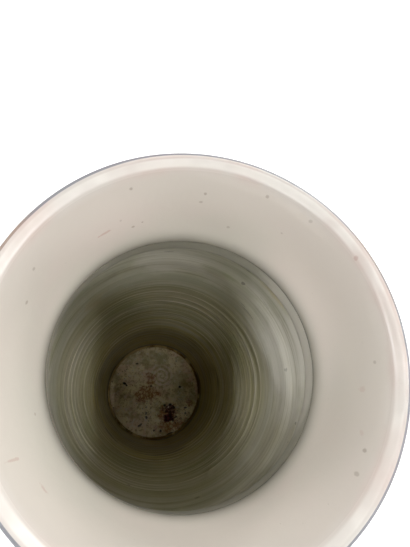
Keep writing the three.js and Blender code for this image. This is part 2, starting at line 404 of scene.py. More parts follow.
@dataclass(frozen=True)
class Field:
    """A number, place or colour that varies over a surface, and the sums that its node tree can do on it."""

    tree: "Tree"
    socket: bpy.types.NodeSocket

    def reckon(self, operation: str, other: "Field | float" = 0.0) -> "Field":
        """The result of a Math node on this and another number."""
        return self.tree.math(operation, self, other)

    def __add__(self, other: "Field | float") -> "Field":
        """The sum."""
        return self.reckon("ADD", other)

    def __sub__(self, other: "Field | float") -> "Field":
        """The difference."""
        return self.reckon("SUBTRACT", other)

    def __rsub__(self, other: float) -> "Field":
        """What is left of a number when this is taken from it."""
        return self.tree.math("SUBTRACT", other, self)

    def __mul__(self, other: "Field | float") -> "Field":
        """The product."""
        return self.reckon("MULTIPLY", other)

    def __truediv__(self, other: "Field | float") -> "Field":
        """The quotient."""
        return self.reckon("DIVIDE", other)

    def __pow__(self, other: float) -> "Field":
        """The power."""
        return self.reckon("POWER", other)

    def __or__(self, other: "Field | float") -> "Field":
        """The larger of the two."""
        return self.reckon("MAXIMUM", other)

    def ease(self, start: float, end: float, low: float = 0.0, high: float = 1.0) -> "Field":
        """Goes smoothly from low to high while this goes from start to end."""
        inputs = {"Value": self, "From Min": start, "From Max": end, "To Min": low, "To Max": high}
        return self.tree.field("MapRange", inputs, interpolation_type="SMOOTHSTEP")

    def band(self, start: float, end: float, soft: float) -> "Field":
        """Is 1 while this lies between start and end, with soft edges outside them."""
        return self.ease(start - soft, start) * self.ease(end, end + soft, 1.0, 0.0)


class Tree:
    """A node tree that is written as sums of fields."""

    def __init__(self, tree: bpy.types.NodeTree) -> None:
        """Takes the tree of a material or of the world."""
        self.tree = tree

    def fill(self, node: bpy.types.Node, inputs: dict) -> bpy.types.Node:
        """Fills a node's inputs.

        Args:
            node: The node.
            inputs: Numbers, vectors, colours or fields for its inputs, by name or number.

        Returns:
            The node.
        """
        for key, value in inputs.items():
            target = node.inputs[key]
            if isinstance(value, Field):
                self.tree.links.new(value.socket, target)
            else:
                target.default_value = (*value, 1.0) if target.type == "RGBA" else value
        return node

    def node(self, kind: str, inputs: dict | None = None, **settings: object) -> bpy.types.Node:
        """Adds a node.

        Args:
            kind: Its type.
            inputs: What fills its inputs.
            settings: Its properties.

        Returns:
            The node.
        """
        made = self.tree.nodes.new("ShaderNode" + kind)
        for key, value in settings.items():
            setattr(made, key, value)
        return self.fill(made, inputs or {})

    def field(self, kind: str, inputs: dict | None = None, output: int | str = 0, **settings: object) -> Field:
        """Adds a node and gives one of its outputs."""
        return Field(self, self.node(kind, inputs, **settings).outputs[output])

    def math(self, operation: str, first: Field | float, second: Field | float) -> Field:
        """The result of a Math node."""
        return self.field("Math", {0: first, 1: second}, operation=operation)

    def seen_directly(self) -> Field:
        """1 for rays from the camera and for those seen in a gloss or through glass."""
        rays = self.node("LightPath").outputs
        camera, glossy, through = (Field(self, rays[f"Is {kind} Ray"]) for kind in ("Camera", "Glossy", "Transmission"))
        return camera | glossy | through


class Sheet(Tree):
    """A material's node tree, on which a finish is painted layer by layer."""

    def __init__(self, name: str, ground: Colour) -> None:
        """Starts a material of one colour, whose patterns read Object coordinates."""
        self.material = bpy.data.materials.new(name)
        self.material.use_nodes = True
        super().__init__(self.material.node_tree)
        self.tone: Field | Colour = ground
        self.place = self.field("TexCoord", output="Object")
        self.x, self.y, self.height = (Field(self, axis) for axis in self.node("SeparateXYZ", {0: self.place}).outputs)
        self.radius = self.length(self.field("CombineXYZ", {0: self.x, 1: self.y}))
        self.shakes: dict[float, Field] = {}

    def length(self, vector: Field) -> Field:
        """The length of a vector."""
        return self.field("VectorMath", {0: vector}, "Value", operation="LENGTH")

    def stretched(self, scale: Triple = (1, 1, 1), shift: Triple = (0, 0, 0)) -> Field:
        """Object coordinates times a scale on each axis, and shifted."""
        return self.field("Mapping", {"Vector": self.place, "Scale": scale, "Location": shift})

    def noise(self, scale: float, detail: float = 3.0, rough: float = 0.55, vector: Field | None = None,
              twist: float = 0.0) -> Field:
        """Soft noise between 0 and 1.

        Args:
            scale: Features for each metre of the vector.
            detail: Octaves.
            rough: How much the finer octaves count.
            vector: Where it is read, by default in Object coordinates.
            twist: How far it is distorted.

        Returns:
            The noise.
        """
        inputs = {"Vector": vector or self.place, "Scale": scale, "Detail": detail, "Roughness": rough,
                  "Distortion": twist}
        return self.field("TexNoise", inputs)

    def sway(self, scale: float, reach: float, detail: float = 2.0) -> Field:
        """Soft noise about 0 that spans a reach."""
        return (self.noise(scale, detail) - 0.5) * reach

    def turns(self) -> Field:
        """Turns round the axis, from -0.5 to 0.5, on the same zero as the throwing ridges."""
        return self.math("ARCTAN2", self.x, self.y * -1.0) / TURN

    def mix(self, amount: Field, first: Field | Colour, second: Field | Colour) -> Field:
        """Goes from the first colour to the second."""
        return self.field("Mix", {0: amount, 6: first, 7: second}, 2, data_type="RGBA")

    def paint(self, colour: Field | Colour, amount: Field) -> None:
        """Lays a colour over what is painted so far."""
        self.tone = self.mix(amount, self.tone, colour)

    def specks(self, scale: float, share: float, size: float, seed: float = 0.0) -> Field:
        """Round specks scattered at random.

        Args:
            scale: Cells for each metre.
            share: Part of the cells that hold a speck.
            size: Radius of the largest, as a part of a cell.
            seed: Shifts the scatter.

        Returns:
            1 in a speck and 0 outside.
        """
        place = self.stretched(shift=(seed, seed * 0.7, seed * 0.3))
        cells = self.node("TexVoronoi", {"Vector": place, "Scale": scale}).outputs
        chosen = self.field("SeparateColor", {0: Field(self, cells["Color"])})
        near = Field(self, cells["Distance"]).ease(size * 0.45, size, 1.0, 0.0)
        return chosen.reckon("LESS_THAN", share) * near

    def veins(self, scale: float, width: float) -> Field:
        """A net of thin wandering lines.

        Args:
            scale: Meshes of the net for each metre.
            width: Width of a line, as a part of a mesh.

        Returns:
            1 on a line and 0 between lines.
        """
        wander = self.field("TexNoise", {"Vector": self.place, "Scale": scale * 1.6}, "Color")
        push = self.field("VectorMath", {0: wander, "Scale": 0.9 / scale}, operation="SCALE")
        place = self.field("VectorMath", {0: self.place, 1: push}, operation="ADD")
        edge = self.field("TexVoronoi", {"Vector": place, "Scale": scale}, "Distance", feature="DISTANCE_TO_EDGE")
        return edge.ease(width * 0.3, width, 1.0, 0.0)

    def marks(self, marks: Iterable[Mark]) -> Field:
        """Draws marks with soft, ragged edges.

        Args:
            marks: The marks.

        Returns:
            Their strength where one lies, and 0 elsewhere.
        """
        total: Field | float = 0.0
        for mark in marks:
            inputs = {"Vector": self.place, "Location": mark.place, "Rotation": mark.turn, "Scale": mark.half}
            far = self.length(self.field("Mapping", inputs, vector_type="TEXTURE"))
            if mark.grain not in self.shakes:
                self.shakes[mark.grain] = self.noise(mark.grain) - 0.5
            shake = self.shakes[mark.grain] * (2.4 * mark.ragged)
            total = self.math("MAXIMUM", total, (far + shake).ease(0.55, 1.05, mark.strength, 0.0))
        return total

    def finish(self, relief: Field, depth: float, **settings: Field | float) -> Material:
        """Dresses the shader in what is painted.

        Args:
            relief: How high the surface stands, from 0 to 1.
            depth: What 1 stands for, in metres.
            settings: The shader's other inputs by name, with _ for a space.

        Returns:
            The material.
        """
        bump = self.field("Bump", {"Height": relief, "Distance": depth, "Strength": 1.0})
        inputs = {key.replace("_", " "): value for key, value in settings.items()}
        self.fill(self.tree.nodes["Principled BSDF"], {"Base Color": self.tone, "Normal": bump, **inputs})
        return self.material


@dataclass(frozen=True)
class PaleGlaze:
    """The clear, faintly green glaze of the outside, the mouth and the lip, with painted light towards the lip, a
    painted highlight on its crest and painted shade at the throat.
    """

    colour: Colour = (0.56, 0.507, 0.452)
    green: Colour = (0.535, 0.505, 0.445)
    rosy: Colour = (0.57, 0.50, 0.453)
    # painted light: bright lightens the mouth's inside towards the lip, where more light falls
    bright: Colour = (0.66, 0.605, 0.545)
    painted_light_start: float = 430.0 * MM
    painted_light_full: float = 449.0 * MM
    lip: Colour = (0.63, 0.585, 0.535)
    lip_rose: Colour = (0.62, 0.52, 0.47)
    lip_start: float = 450.0 * MM
    lip_full: float = 453.6 * MM
    # painted highlight: crest is a pale band painted along the lip's inner roll
    crest: Colour = (0.86, 0.82, 0.76)
    highlight_start: float = 57.1 * MM
    highlight_end: float = 58.6 * MM
    iron: Colour = (0.20, 0.15, 0.11)
    pink: Colour = (0.45, 0.28, 0.235)
    blue: Colour = (0.17, 0.185, 0.225)
    brown: Colour = (0.30, 0.21, 0.165)
    line_low: float = 453.2 * MM
    line_radius: float = 59.9 * MM
    line_strength: float = 0.75
    # painted shade: throat darkens the mouth's inside as it nears the throat
    throat: Colour = (0.38, 0.365, 0.315)
    throat_shade_start: float = 428.0 * MM
    throat_shade_full: float = 415.5 * MM
    throat_shade_within: float = 49.0 * MM
    specks: tuple[Mark, ...] = wall_marks(
        (109, 448.9, 53, 0.74, 0.68),
        (84, 444.6, 53, 0.68, 0.68),
        (85, 440.8, 52, 0.68, 0.54, 0, 0.8),
        (64, 450.1, 54, 0.68, 0.68),
        (48, 451.0, 54, 0.68, 0.68, 0, 0.7),
        (53, 440.5, 51, 0.54, 0.54, 0, 0.7),
        (72, 431.4, 49, 0.68, 0.68, 0, 0.7),
        (107, 433.0, 49, 0.54, 0.47),
        (111, 432.0, 49, 0.68, 0.54),
        (115, 437.3, 51, 0.47, 0.54, 0, 0.6),
        (149, 445.2, 53, 0.68, 0.68, 0, 0.8),
        (159, 440.6, 52, 0.74, 0.68),
        (196, 429.5, 48, 0.68, 0.68, 0, 0.7),
        (358, 447.4, 53, 0.68, 0.68, 0, 0.8),
        (331, 448.0, 54, 0.74, 0.94),
        (324, 448.6, 54, 0.81, 1.08, 0, 0.8),
    )
    streaks: tuple[Mark, ...] = wall_marks(
        (122.6, 435.0, 50, 3.2, 0.6, 0, 0.6, 0.7),
        (207, 446.3, 53, 0.5, 2.8, 8, 0.5, 0.7),
        (218.6, 441.5, 52, 1.6, 0.7, 0, 0.45, 0.8),
        (349.5, 442.7, 52, 1.0, 1.3, 0, 0.3, 0.9),
        (30, 453.5, 57, 0.8, 0.7, 0, 0.6, 0.8),
        (336, 445.0, 53, 1.1, 0.9, 0, 0.25, 0.9),
    )

    def make(self) -> Material:
        """Builds the material."""
        sheet = Sheet("pale_glaze", self.colour)
        sheet.paint(self.green, sheet.noise(14.0, 2.0).ease(0.38, 0.68))
        sheet.paint(self.rosy, sheet.noise(22.0, 3.0, 0.6, sheet.stretched((1, 1, 1.6), (3, 1, 2))).ease(0.5, 0.78))
        # Painted light: lightens the mouth's inside towards the lip.
        sheet.paint(self.bright, sheet.height.ease(self.painted_light_start, self.painted_light_full, 0.0, 0.5))
        # Painted shade: darkens the mouth's inside as it nears the throat.
        within = sheet.radius.ease(self.throat_shade_within, self.throat_shade_within - MM)
        sheet.paint(self.throat, sheet.height.ease(self.throat_shade_start, self.throat_shade_full) * within)
        at_lip = sheet.height.ease(self.lip_start, self.lip_full)
        blush = sheet.noise(38.0, 3.0, 0.6, sheet.stretched(shift=(5, 2, 9))).ease(0.42, 0.72)
        sheet.paint(sheet.mix(blush, self.lip, self.lip_rose), at_lip)
        # Painted highlight: a patchy pale band round the lip's inner roll.
        patchy = sheet.noise(34.0, 3.0, 0.6).ease(0.4, 0.6, 0.25, 0.75)
        sheet.paint(self.crest, sheet.radius.band(self.highlight_start, self.highlight_end, 0.7 * MM) * patchy * at_lip)
        fine = sheet.specks(120.0, 0.05, 0.06) | sheet.specks(240.0, 0.02, 0.10, 4.3)
        sheet.paint(self.iron, (fine | sheet.marks(self.specks)) * 0.42)
        sheet.paint(self.pink, sheet.marks(self.streaks) * 0.8)
        worn = sheet.noise(26.0, 2.0, 0.5, sheet.stretched(shift=(7, 5, 3))).ease(0.52, 0.64)
        line = self._line(sheet) * self.line_strength
        sheet.paint(sheet.mix(worn, self.blue, self.brown), line)
        ripple = sheet.noise(260.0, 2.0) * 0.5 + sheet.noise(60.0, 2.0)
        pinholes = sheet.specks(420.0, 0.03, 0.10, 8.1)
        rough = sheet.noise(120.0).ease(0.3, 0.75, 0.12, 0.24)
        return sheet.finish(
            ripple - pinholes * 0.8, 0.12 * MM,
            Roughness=rough | sheet.height.ease(self.lip_start, self.lip_full, 0.12, 0.3), IOR=1.5,
            Specular_IOR_Level=line.ease(0.0, self.line_strength, 0.5, 0.08), Coat_Roughness=0.06,
            Coat_Weight=sheet.height.ease(self.lip_start, self.lip_full, 0.35, 0.0),
        )

    def _line(self, sheet: Sheet) -> Field:
        """The thin blue line round the outer edge of the lip."""
        shake = sheet.sway(30.0, 0.5 * MM)
        above = (sheet.height + shake).ease(self.line_low - 0.3 * MM, self.line_low)
        return above * (sheet.radius + shake).ease(self.line_radius, self.line_radius + 0.15 * MM)


@dataclass(frozen=True)
class InnerGlaze:
    """The thin glaze inside the body, olive grey over the throwing ridges and browner towards the floor, with painted
    light and shade on its walls.
    """

    light: Colour = (0.53, 0.523, 0.415)
    olive: Colour = (0.478, 0.447, 0.27)
    deep: Colour = (0.70, 0.595, 0.165)
    furrow_and_shade: Colour = (0.26, 0.235, 0.105)
    cloud_and_light: Colour = (0.71, 0.68, 0.61)
    moss_and_shade: Colour = (0.355, 0.38, 0.215)
    blush: Colour = (0.55, 0.47, 0.36)
    ochre: Colour = (0.56, 0.47, 0.28)
    wiped_and_highlight: Colour = (0.92, 0.855, 0.77)
    darkening_and_shade: Colour = (0.16, 0.12, 0.06)
    soot: Colour = (0.10, 0.085, 0.06)
    # painted shade: neck darkens the wall under the throat
    neck: Colour = (0.39, 0.38, 0.32)
    deep_end: float = 60.0 * MM
    olive_start: float = 210.0 * MM
    seam: float = 279.4 * MM
    darkening_low: float = 96.0 * MM
    darkening_edge: float = 114.0 * MM
    darkening_high: float = 118.0 * MM
    floor_shade_start: float = 15.5 * MM
    floor_shade_end: float = 23.0 * MM
    neck_shade_start: float = 380.0 * MM
    neck_shade_full: float = 395.0 * MM
    ridge_start: float = 52.2 * MM
    ridge_end: float = 262.0 * MM
    ridge_sets: tuple[tuple[float, float, float, float], ...] = (
        (1.0, 5.0, 1.0, 0.5),
        (2.0, 5.0, 0.75, 0.45),
        (5.0, 3.0, 0.45, 0.35),
    )
    # painted light: light_pools are pale pools painted where the lamps light the wall through the throat
    light_pools: tuple[Mark, ...] = wall_marks(
        (8, 318, 69, 40, 38, 0, 0.85, 0.5, 60.0),
        (315, 290, 68, 14, 26, 15, 0.35, 0.5, 60.0),
        (88, 318, 69, 26, 26, 0, 0.8, 0.5, 60.0),
        (240, 300, 68, 30, 16, 0, 0.6, 0.5, 60.0),
    )
    # painted shade: darker, greener patches where the wall lies in shade
    moss_and_shade_marks: tuple[Mark, ...] = wall_marks(
        (118, 222, 64, 24, 40, 0, 0.8, 0.5, 60.0),
        (57, 336, 69, 11, 26, 10, 0.75, 0.5, 60.0),
        (244, 190, 62, 26, 40, 0, 0.5, 0.5, 60.0),
        (28, 205, 63, 15, 45, -8, 0.55, 0.5, 60.0),
    )
    # painted light: a pale patch painted on the neck's +X side
    neck_light_pool: tuple[Mark, ...] = wall_marks((8, 404, 50, 34, 26, 0, 0.85, 0.4, 60.0))
    dashes: tuple[Mark, ...] = wall_marks(
        (91.5, 341.4, 69, 5.0, 0.7, 4, 0.7, 0.8),
        (89.4, 332.5, 69, 3.0, 0.8, -6, 0.6, 0.8),
        (52.3, 344.1, 69, 1.6, 2.0, 0, 0.6),
        (50.6, 322.8, 69, 1.5, 2.2, 0, 0.8),
        (39.0, 293.5, 67, 7.0, 1.1, 3, 0.6, 0.9),
        (44.0, 296.0, 67, 4.0, 0.8, 0, 0.5, 0.9),
        (36.5, 324.2, 69, 5.0, 0.5, 10, 0.5, 0.8),
        (3.3, 314.5, 68, 1.0, 2.5, 0, 0.5, 0.8),
        (339.2, 334.4, 69, 1.0, 1.4, 0, 0.7),
        (284.5, 292.7, 67, 1.8, 1.6, 0, 0.8),
        (249.7, 260.1, 65, 1.2, 1.4, 0, 0.8),
    )
    stains: tuple[Mark, ...] = wall_marks(
        (37.0, 346.0, 69, 11.0, 9.0, 0, 0.55, 0.7, 90.0),
        (130.5, 291.0, 67, 8.0, 12.0, 0, 0.35, 0.8, 90.0),
        (58.8, 231.7, 64, 9.0, 7.0, 0, 0.35, 0.7, 120.0),
        (218.0, 190.0, 62, 8.0, 14.0, 0, 0.3, 0.8, 120.0),
    )

    def make(self) -> Material:
        """Builds the material."""
        sheet = Sheet("inner_glaze", self.deep)
        sheet.paint(self.olive, (sheet.height + sheet.sway(9.0, 50 * MM)).ease(self.deep_end, self.olive_start))
        sheet.paint(self.light, sheet.height.ease(self.seam - 60 * MM, self.seam, 0.0, 0.5))
        sheet.paint(self.light, sheet.height.ease(self.seam + 0.4 * MM, self.seam + 0.8 * MM))
        self._tint(sheet)
        # Painted light: pale pools where light falls on the wall.
        sheet.paint(self.cloud_and_light, sheet.marks(self.light_pools))
        # Painted shade: darker, greener patches where the wall lies in shade.
        sheet.paint(self.moss_and_shade, sheet.marks(self.moss_and_shade_marks))
        relief = self._streak(sheet)
        # Painted shade: darkens the wall under the throat.
        sheet.paint(self.neck, sheet.height.ease(self.neck_shade_start, self.neck_shade_full))
        # Painted light: a pale patch on the neck's +X side.
        sheet.paint(self.cloud_and_light, sheet.marks(self.neck_light_pool))
        self._ridge(sheet)
        self._stain(sheet)
        rough = sheet.noise(60.0).ease(0.35, 0.7, 0.3, 0.42)
        return sheet.finish(relief, 0.12 * MM, Roughness=rough, IOR=1.42)

    def _tint(self, sheet: Sheet) -> None:
        """Drifts between greener and pinker glaze."""
        drift = sheet.noise(1.0, vector=sheet.stretched((16, 16, 34)), twist=0.4)
        sheet.paint(self.moss_and_shade, drift.ease(0.5, 0.72, 0.0, 0.3))
        sheet.paint(self.blush, drift.ease(0.5, 0.3, 0.0, 0.45))

    def _streak(self, sheet: Sheet) -> Field:
        """Draws cloudy bands and fine rings round the wall, and gives their height for the relief."""
        broad = sheet.noise(1.0, vector=sheet.stretched((8, 8, 62)), twist=0.5)
        rings = sheet.noise(1.0, 3.0, 0.6, sheet.stretched((11, 11, 230), (1, 2, 3)), 0.2)
        fine = sheet.noise(1.0, 2.0, 0.5, sheet.stretched((16, 16, 760), (4, 1, 2)))
        sheet.paint(self.cloud_and_light, broad.ease(0.46, 0.68, 0.0, 0.6))
        sheet.paint(self.cloud_and_light, rings.ease(0.51, 0.7, 0.0, 0.55))
        sheet.paint(self.furrow_and_shade, rings.ease(0.47, 0.28, 0.0, 0.5))
        sheet.paint(self.furrow_and_shade, fine.ease(0.5, 0.3, 0.0, 0.35))
        return fine * 0.2 + rings

    def _ridge(self, sheet: Sheet) -> None:
        """Lightens the crests of the throwing ridges and darkens their hollows: partly thin and pooled glaze, partly a
        painted highlight on the crests and painted shade in the hollows.

        Each set gives how many ridges a pitch holds, how sharp they are, and how strongly crests and
        hollows show.
        """
        climb = ((sheet.height - self.ridge_start) / RIDGE_PITCH - sheet.turns()) * math.pi + sheet.sway(11.0, 1.1)
        zone = sheet.height.band(self.ridge_start, self.ridge_end, 12 * MM)
        for many, power, bright, dark in self.ridge_sets:
            place = sheet.stretched((19, 19, 30), (many, 2 * many, 3))
            shown = sheet.noise(1.0, 3.0, 0.6, place).ease(0.43, 0.62, 0.08, 1.0) * zone
            wave = (climb * many).reckon("SINE").reckon("ABSOLUTE")
            # Painted shade in the hollows and a painted highlight on the crests, over thin and pooled glaze.
            sheet.paint(self.furrow_and_shade, wave**power * shown * dark)
            sheet.paint(self.wiped_and_highlight, (1.0 - wave) ** power * shown * bright)

    def _stain(self, sheet: Sheet) -> None:
        """Adds ochre stains, darkens the wall below a wavering line low down with a broken dark band along it, paints
        shade at the foot of the wall, and adds dark pits and dashes.
        """
        sheet.paint(self.ochre, sheet.marks(self.stains))
        # Darker below a wavering line low down, with a broken dark band along that line.
        level = sheet.height + sheet.sway(13.0, 90 * MM)
        sheet.paint(self.darkening_and_shade, level.ease(self.darkening_high, self.darkening_low) * 0.4)
        broken = sheet.noise(20.0, 2.0, 0.5, sheet.stretched(shift=(2, 6, 4))).ease(0.5, 0.6, 0.0, 0.5)
        sheet.paint(self.soot, level.band(self.darkening_edge, self.darkening_high, 3 * MM) * broken)
        patchy = sheet.noise(34.0).ease(0.4, 0.56, 0.1, 0.85)
        # Painted shade: darker at the foot of the wall, where it meets the floor.
        sheet.paint(self.darkening_and_shade, sheet.height.ease(self.floor_shade_end, self.floor_shade_start) * patchy)
        pits = sheet.specks(70.0, 0.06, 0.05, 2.2) | sheet.specks(150.0, 0.015, 0.09, 6.6)
        sheet.paint(self.soot, (pits * 0.7 | sheet.marks(self.dashes)) * 0.75)


@dataclass(frozen=True)
class DiscFinish:
    """The rough floor: thin dry glaze with pits, rust and one dark stain, with painted shade in patches and along its
    edge.
    """

    pale: Colour = (0.97, 0.86, 0.60)
    drab: Colour = (0.54, 0.43, 0.22)
    moss_and_shade: Colour = (0.50, 0.46, 0.22)
    groove_shade: Colour = (0.26, 0.22, 0.07)
    rose: Colour = (0.84, 0.65, 0.50)
    chalk: Colour = (0.90, 0.82, 0.70)
    rust: Colour = (0.37, 0.15, 0.035)
    plum: Colour = (0.17, 0.025, 0.03)
    stain: Colour = (0.03, 0.006, 0.002)
    pit: Colour = (0.03, 0.02, 0.006)
    swirl_place: Point = (8.5 * MM, 17.2 * MM)
    swirl_pitch: float = 5.2 * MM
    swirl_reach: float = 22.0 * MM
    pits: tuple[Mark, ...] = floor_marks(
        (-34.3, 9.9, 2.6, 1.5, -20, 1.0, 0.3),
        (-32.0, 7.6, 1.4, 1.0, -40, 1.0, 0.4),
        (29.8, 4.0, 1.7, 1.5, 0, 1.0, 0.3),
        (-20.1, 32.2, 1.7, 1.4, 0, 0.85),
        (-3.8, 5.9, 1.4, 1.4, 0, 0.8),
        (-9.1, -28.9, 1.4, 2.6, 20, 0.8),
        (-16.6, -37.0, 3.4, 1.3, 35, 0.8),
        (35.3, -19.6, 2.0, 1.3, 0, 0.8),
        (35.6, -26.0, 1.4, 1.4, 0, 0.6),
        (46.4, -22.9, 1.8, 1.8, 0, 0.8),
        (-0.9, -43.6, 1.4, 1.4, 0, 0.9),
        (6.6, -43.9, 1.6, 1.6, 0, 0.9),
        (-9.5, -17.5, 1.6, 0.9, 0, 0.6),
        (-9.7, -24.3, 1.4, 1.4, 0, 0.6),
        (26.0, 34.0, 0.9, 0.9, 0, 0.5),
        (24.0, -29.5, 2.4, 1.4, 30, 0.8),
        (12.0, -16.2, 2.0, 1.5, 0, 0.95),
        (18.2, -15.4, 2.2, 1.2, 0, 0.95),
        (22.8, -19.0, 1.5, 1.9, 20, 0.95),
        (18.4, -19.8, 1.1, 1.1, 0, 0.9),
        (12.6, -23.0, 1.3, 2.2, 0, 0.9),
        (17.6, -24.0, 1.4, 1.8, 0, 0.8),
        (21.0, -33.6, 1.4, 1.1, 0, 0.8),
        (17.0, -48.0, 6.0, 1.6, 22, 0.9, 0.4),
    )
    rusts: tuple[Mark, ...] = floor_marks(
        (-10.5, -1.5, 15.0, 12.0, 0, 1.0, 0.9, 190.0),
        (-4.0, 15.0, 6.0, 9.0, 8, 0.9, 0.9, 220.0),
        (2.0, -3.0, 8.0, 3.0, 0, 1.0, 0.9, 260.0),
        (16.0, -27.0, 14.0, 13.0, 0, 1.0, 0.8, 200.0),
        (39.7, -14.0, 4.5, 5.5, 20, 0.8, 0.9, 200.0),
        (19.0, -39.0, 18.0, 8.0, 15, 1.0, 0.9, 170.0),
    )
    plums: tuple[Mark, ...] = floor_marks(
        (15.8, -30.0, 7.4, 5.8, 0, 1.0, 0.6, 260.0),
        (17.0, -21.0, 7.2, 6.4, 0, 0.75, 0.9, 260.0),
    )
    grains: tuple[Mark, ...] = floor_marks(
        (-36.0, 24.0, 13.0, 11.0, 0, 1.0, 0.6, 120.0),
        (-47.0, 2.0, 7.0, 14.0, 0, 1.0, 0.6, 120.0),
        (-8.0, -24.0, 14.0, 20.0, 30, 0.7, 0.8, 120.0),
        (30.0, -30.0, 14.0, 16.0, 0, 0.9, 0.8, 120.0),
    )
    # painted shadow: groove_shades darken the disc along its edge, where the groove shades it
    groove_shades: tuple[Mark, ...] = floor_marks(
        (40.0, -38.0, 15.0, 8.5, 45, 1.0, 0.4, 120.0),
        (51.5, -16.0, 3.0, 12.0, -12, 0.8, 0.5, 120.0),
    )
    shades: tuple[Mark, ...] = floor_marks(
        (44.0, -6.0, 5.0, 12.0, 0, 0.5, 0.8, 120.0),
        (8.0, 38.0, 13.0, 9.0, 0, 0.6, 0.8, 90.0),
        (30.0, 12.0, 12.0, 16.0, 0, 0.5, 0.8, 90.0),
    )
    glint: tuple[Mark, ...] = floor_marks((16.0, -18.4, 1.2, 1.2, 0, 1.0, 0.3))

    def make(self) -> Material:
        """Builds the material."""
        sheet = Sheet("floor_disc", self.pale)
        sheet.paint(self.drab, sheet.noise(60.0, 5.0, 0.7).ease(0.48, 0.63))
        pinkish = sheet.noise(34.0, 3.0, 0.6, sheet.stretched(shift=(5, 1, 2)))
        sheet.paint(self.rose, pinkish.ease(0.46, 0.6, 0.0, 0.75))
        mossy = sheet.noise(44.0, 4.0, 0.65, sheet.stretched(shift=(2, 3, 1)))
        sheet.paint(self.moss_and_shade, mossy.ease(0.51, 0.64, 0.0, 0.6))
        # Painted shade: darker green patches on the floor.
        sheet.paint(self.moss_and_shade, sheet.marks(self.shades))
        # Painted shadow along the disc's edge.
        sheet.paint(self.groove_shade, sheet.marks(self.groove_shades))
        self._swirl(sheet)
        grit = sheet.noise(300.0, 4.0, 0.75)
        sheet.paint(self.drab, grit.ease(0.49, 0.36, 0.0, 0.85))
        sheet.paint(self.chalk, grit.ease(0.52, 0.66, 0.0, 0.8))
        self._rust(sheet)
        grains = sheet.specks(430.0, 0.4, 0.34, 3.1) * sheet.marks(self.grains)
        pits = grains * 0.8 | sheet.marks(self.pits) | sheet.specks(170.0, 0.09, 0.16, 1.4) * 0.75
        sheet.paint(self.pit, pits * 0.95)
        sheet.paint(self.chalk, sheet.marks(self.glint) * 0.7)
        return sheet.finish(grit + sheet.noise(130.0) * 1.3 - pits, 0.8 * MM, Roughness=0.8, IOR=1.2)

    def _rust(self, sheet: Sheet) -> None:
        """Draws nets of rust and one dark plum stain."""
        rusty = sheet.marks(self.rusts)
        sheet.paint(self.rust, rusty * 0.22)
        net = sheet.veins(260.0, 0.22) | sheet.noise(300.0).ease(0.56, 0.68)
        sheet.paint(self.rust, net * rusty * 0.75)
        plum = sheet.marks(self.plums)
        sheet.paint(self.plum, plum * 0.95)
        sheet.paint(self.stain, net * plum * 0.95)

    def _swirl(self, sheet: Sheet) -> None:
        """Draws the fading spiral that the thrower's finger left round the button."""
        across = sheet.x - self.swirl_place[0]
        along = sheet.y - self.swirl_place[1]
        far = sheet.length(sheet.field("CombineXYZ", {0: across, 1: along}))
        wound = far / (self.swirl_pitch / TURN) - along.reckon("ARCTAN2", across)
        wave = wound.reckon("SINE") * far.ease(self.swirl_reach, 3 * MM)
        sheet.paint(self.chalk, wave.ease(0.0, 0.7, 0.0, 0.65))
        sheet.paint(self.moss_and_shade, wave.ease(0.0, -0.7, 0.0, 0.6))


@dataclass(frozen=True)
class SlipFinish:
    """Fired slip in the groove round the floor, dull, darkened by dirt and by painted shade towards +X and -Y."""

    pale: Colour = (0.60, 0.47, 0.22)
    dark: Colour = (0.26, 0.16, 0.05)
    shaded_side: float = 1.6

    def make(self) -> Material:
        """Builds the material."""
        sheet = Sheet("fired_slip", self.pale)
        # Painted shade: darker towards +X and -Y, over random dirt.
        dirt_and_shade = sheet.noise(70.0, 4.0, 0.7) + (sheet.x - sheet.y) * self.shaded_side
        sheet.paint(self.dark, dirt_and_shade.ease(0.4, 0.6))
        return sheet.finish(sheet.noise(500.0), 0.3 * MM, Roughness=0.8, IOR=1.2)


@dataclass(frozen=True)
class FootFinish:
    """Bare biscuit, toasted where the glaze ends above the bevel."""

    clay: Colour = (0.62, 0.53, 0.41)
    toast: Colour = (0.46, 0.25, 0.11)
    soot: Colour = (0.25, 0.20, 0.16)
    glaze: Colour = (0.55, 0.51, 0.452)
    glaze_line: float = 4.1 * MM

    def make(self) -> Material:
        """Builds the material."""
        sheet = Sheet("foot_biscuit", self.clay)
        level = sheet.height + sheet.sway(60.0, 1.6 * MM, 3.0)
        sheet.paint(self.toast, sheet.noise(70.0, 4.0).ease(0.35, 0.75))
        sheet.paint(self.soot, sheet.noise(200.0, 4.0, 0.65).ease(0.55, 0.8) * 0.5)
        sheet.paint(self.toast, level.band(self.glaze_line - 1.0 * MM, self.glaze_line, 0.4 * MM))
        glazed = level.ease(self.glaze_line - 0.1 * MM, self.glaze_line + 0.3 * MM)
        sheet.paint(self.glaze, glazed)
        grit = sheet.noise(700.0, 4.0, 0.7) + glazed * 1.5
        return sheet.finish(grit, 0.25 * MM, Roughness=glazed.ease(0.0, 1.0, 0.85, 0.16), IOR=1.5)


@dataclass(frozen=True)
class Finishes:
    """The vase's materials, made once and shared by its pieces."""

    pale: Material
    inner: Material
    slip: Material
    foot: Material
    disc: Material

    @classmethod
    def make(cls) -> "Finishes":
        """Builds them all."""
        return cls(*(kind().make() for kind in (PaleGlaze, InnerGlaze, SlipFinish, FootFinish, DiscFinish)))


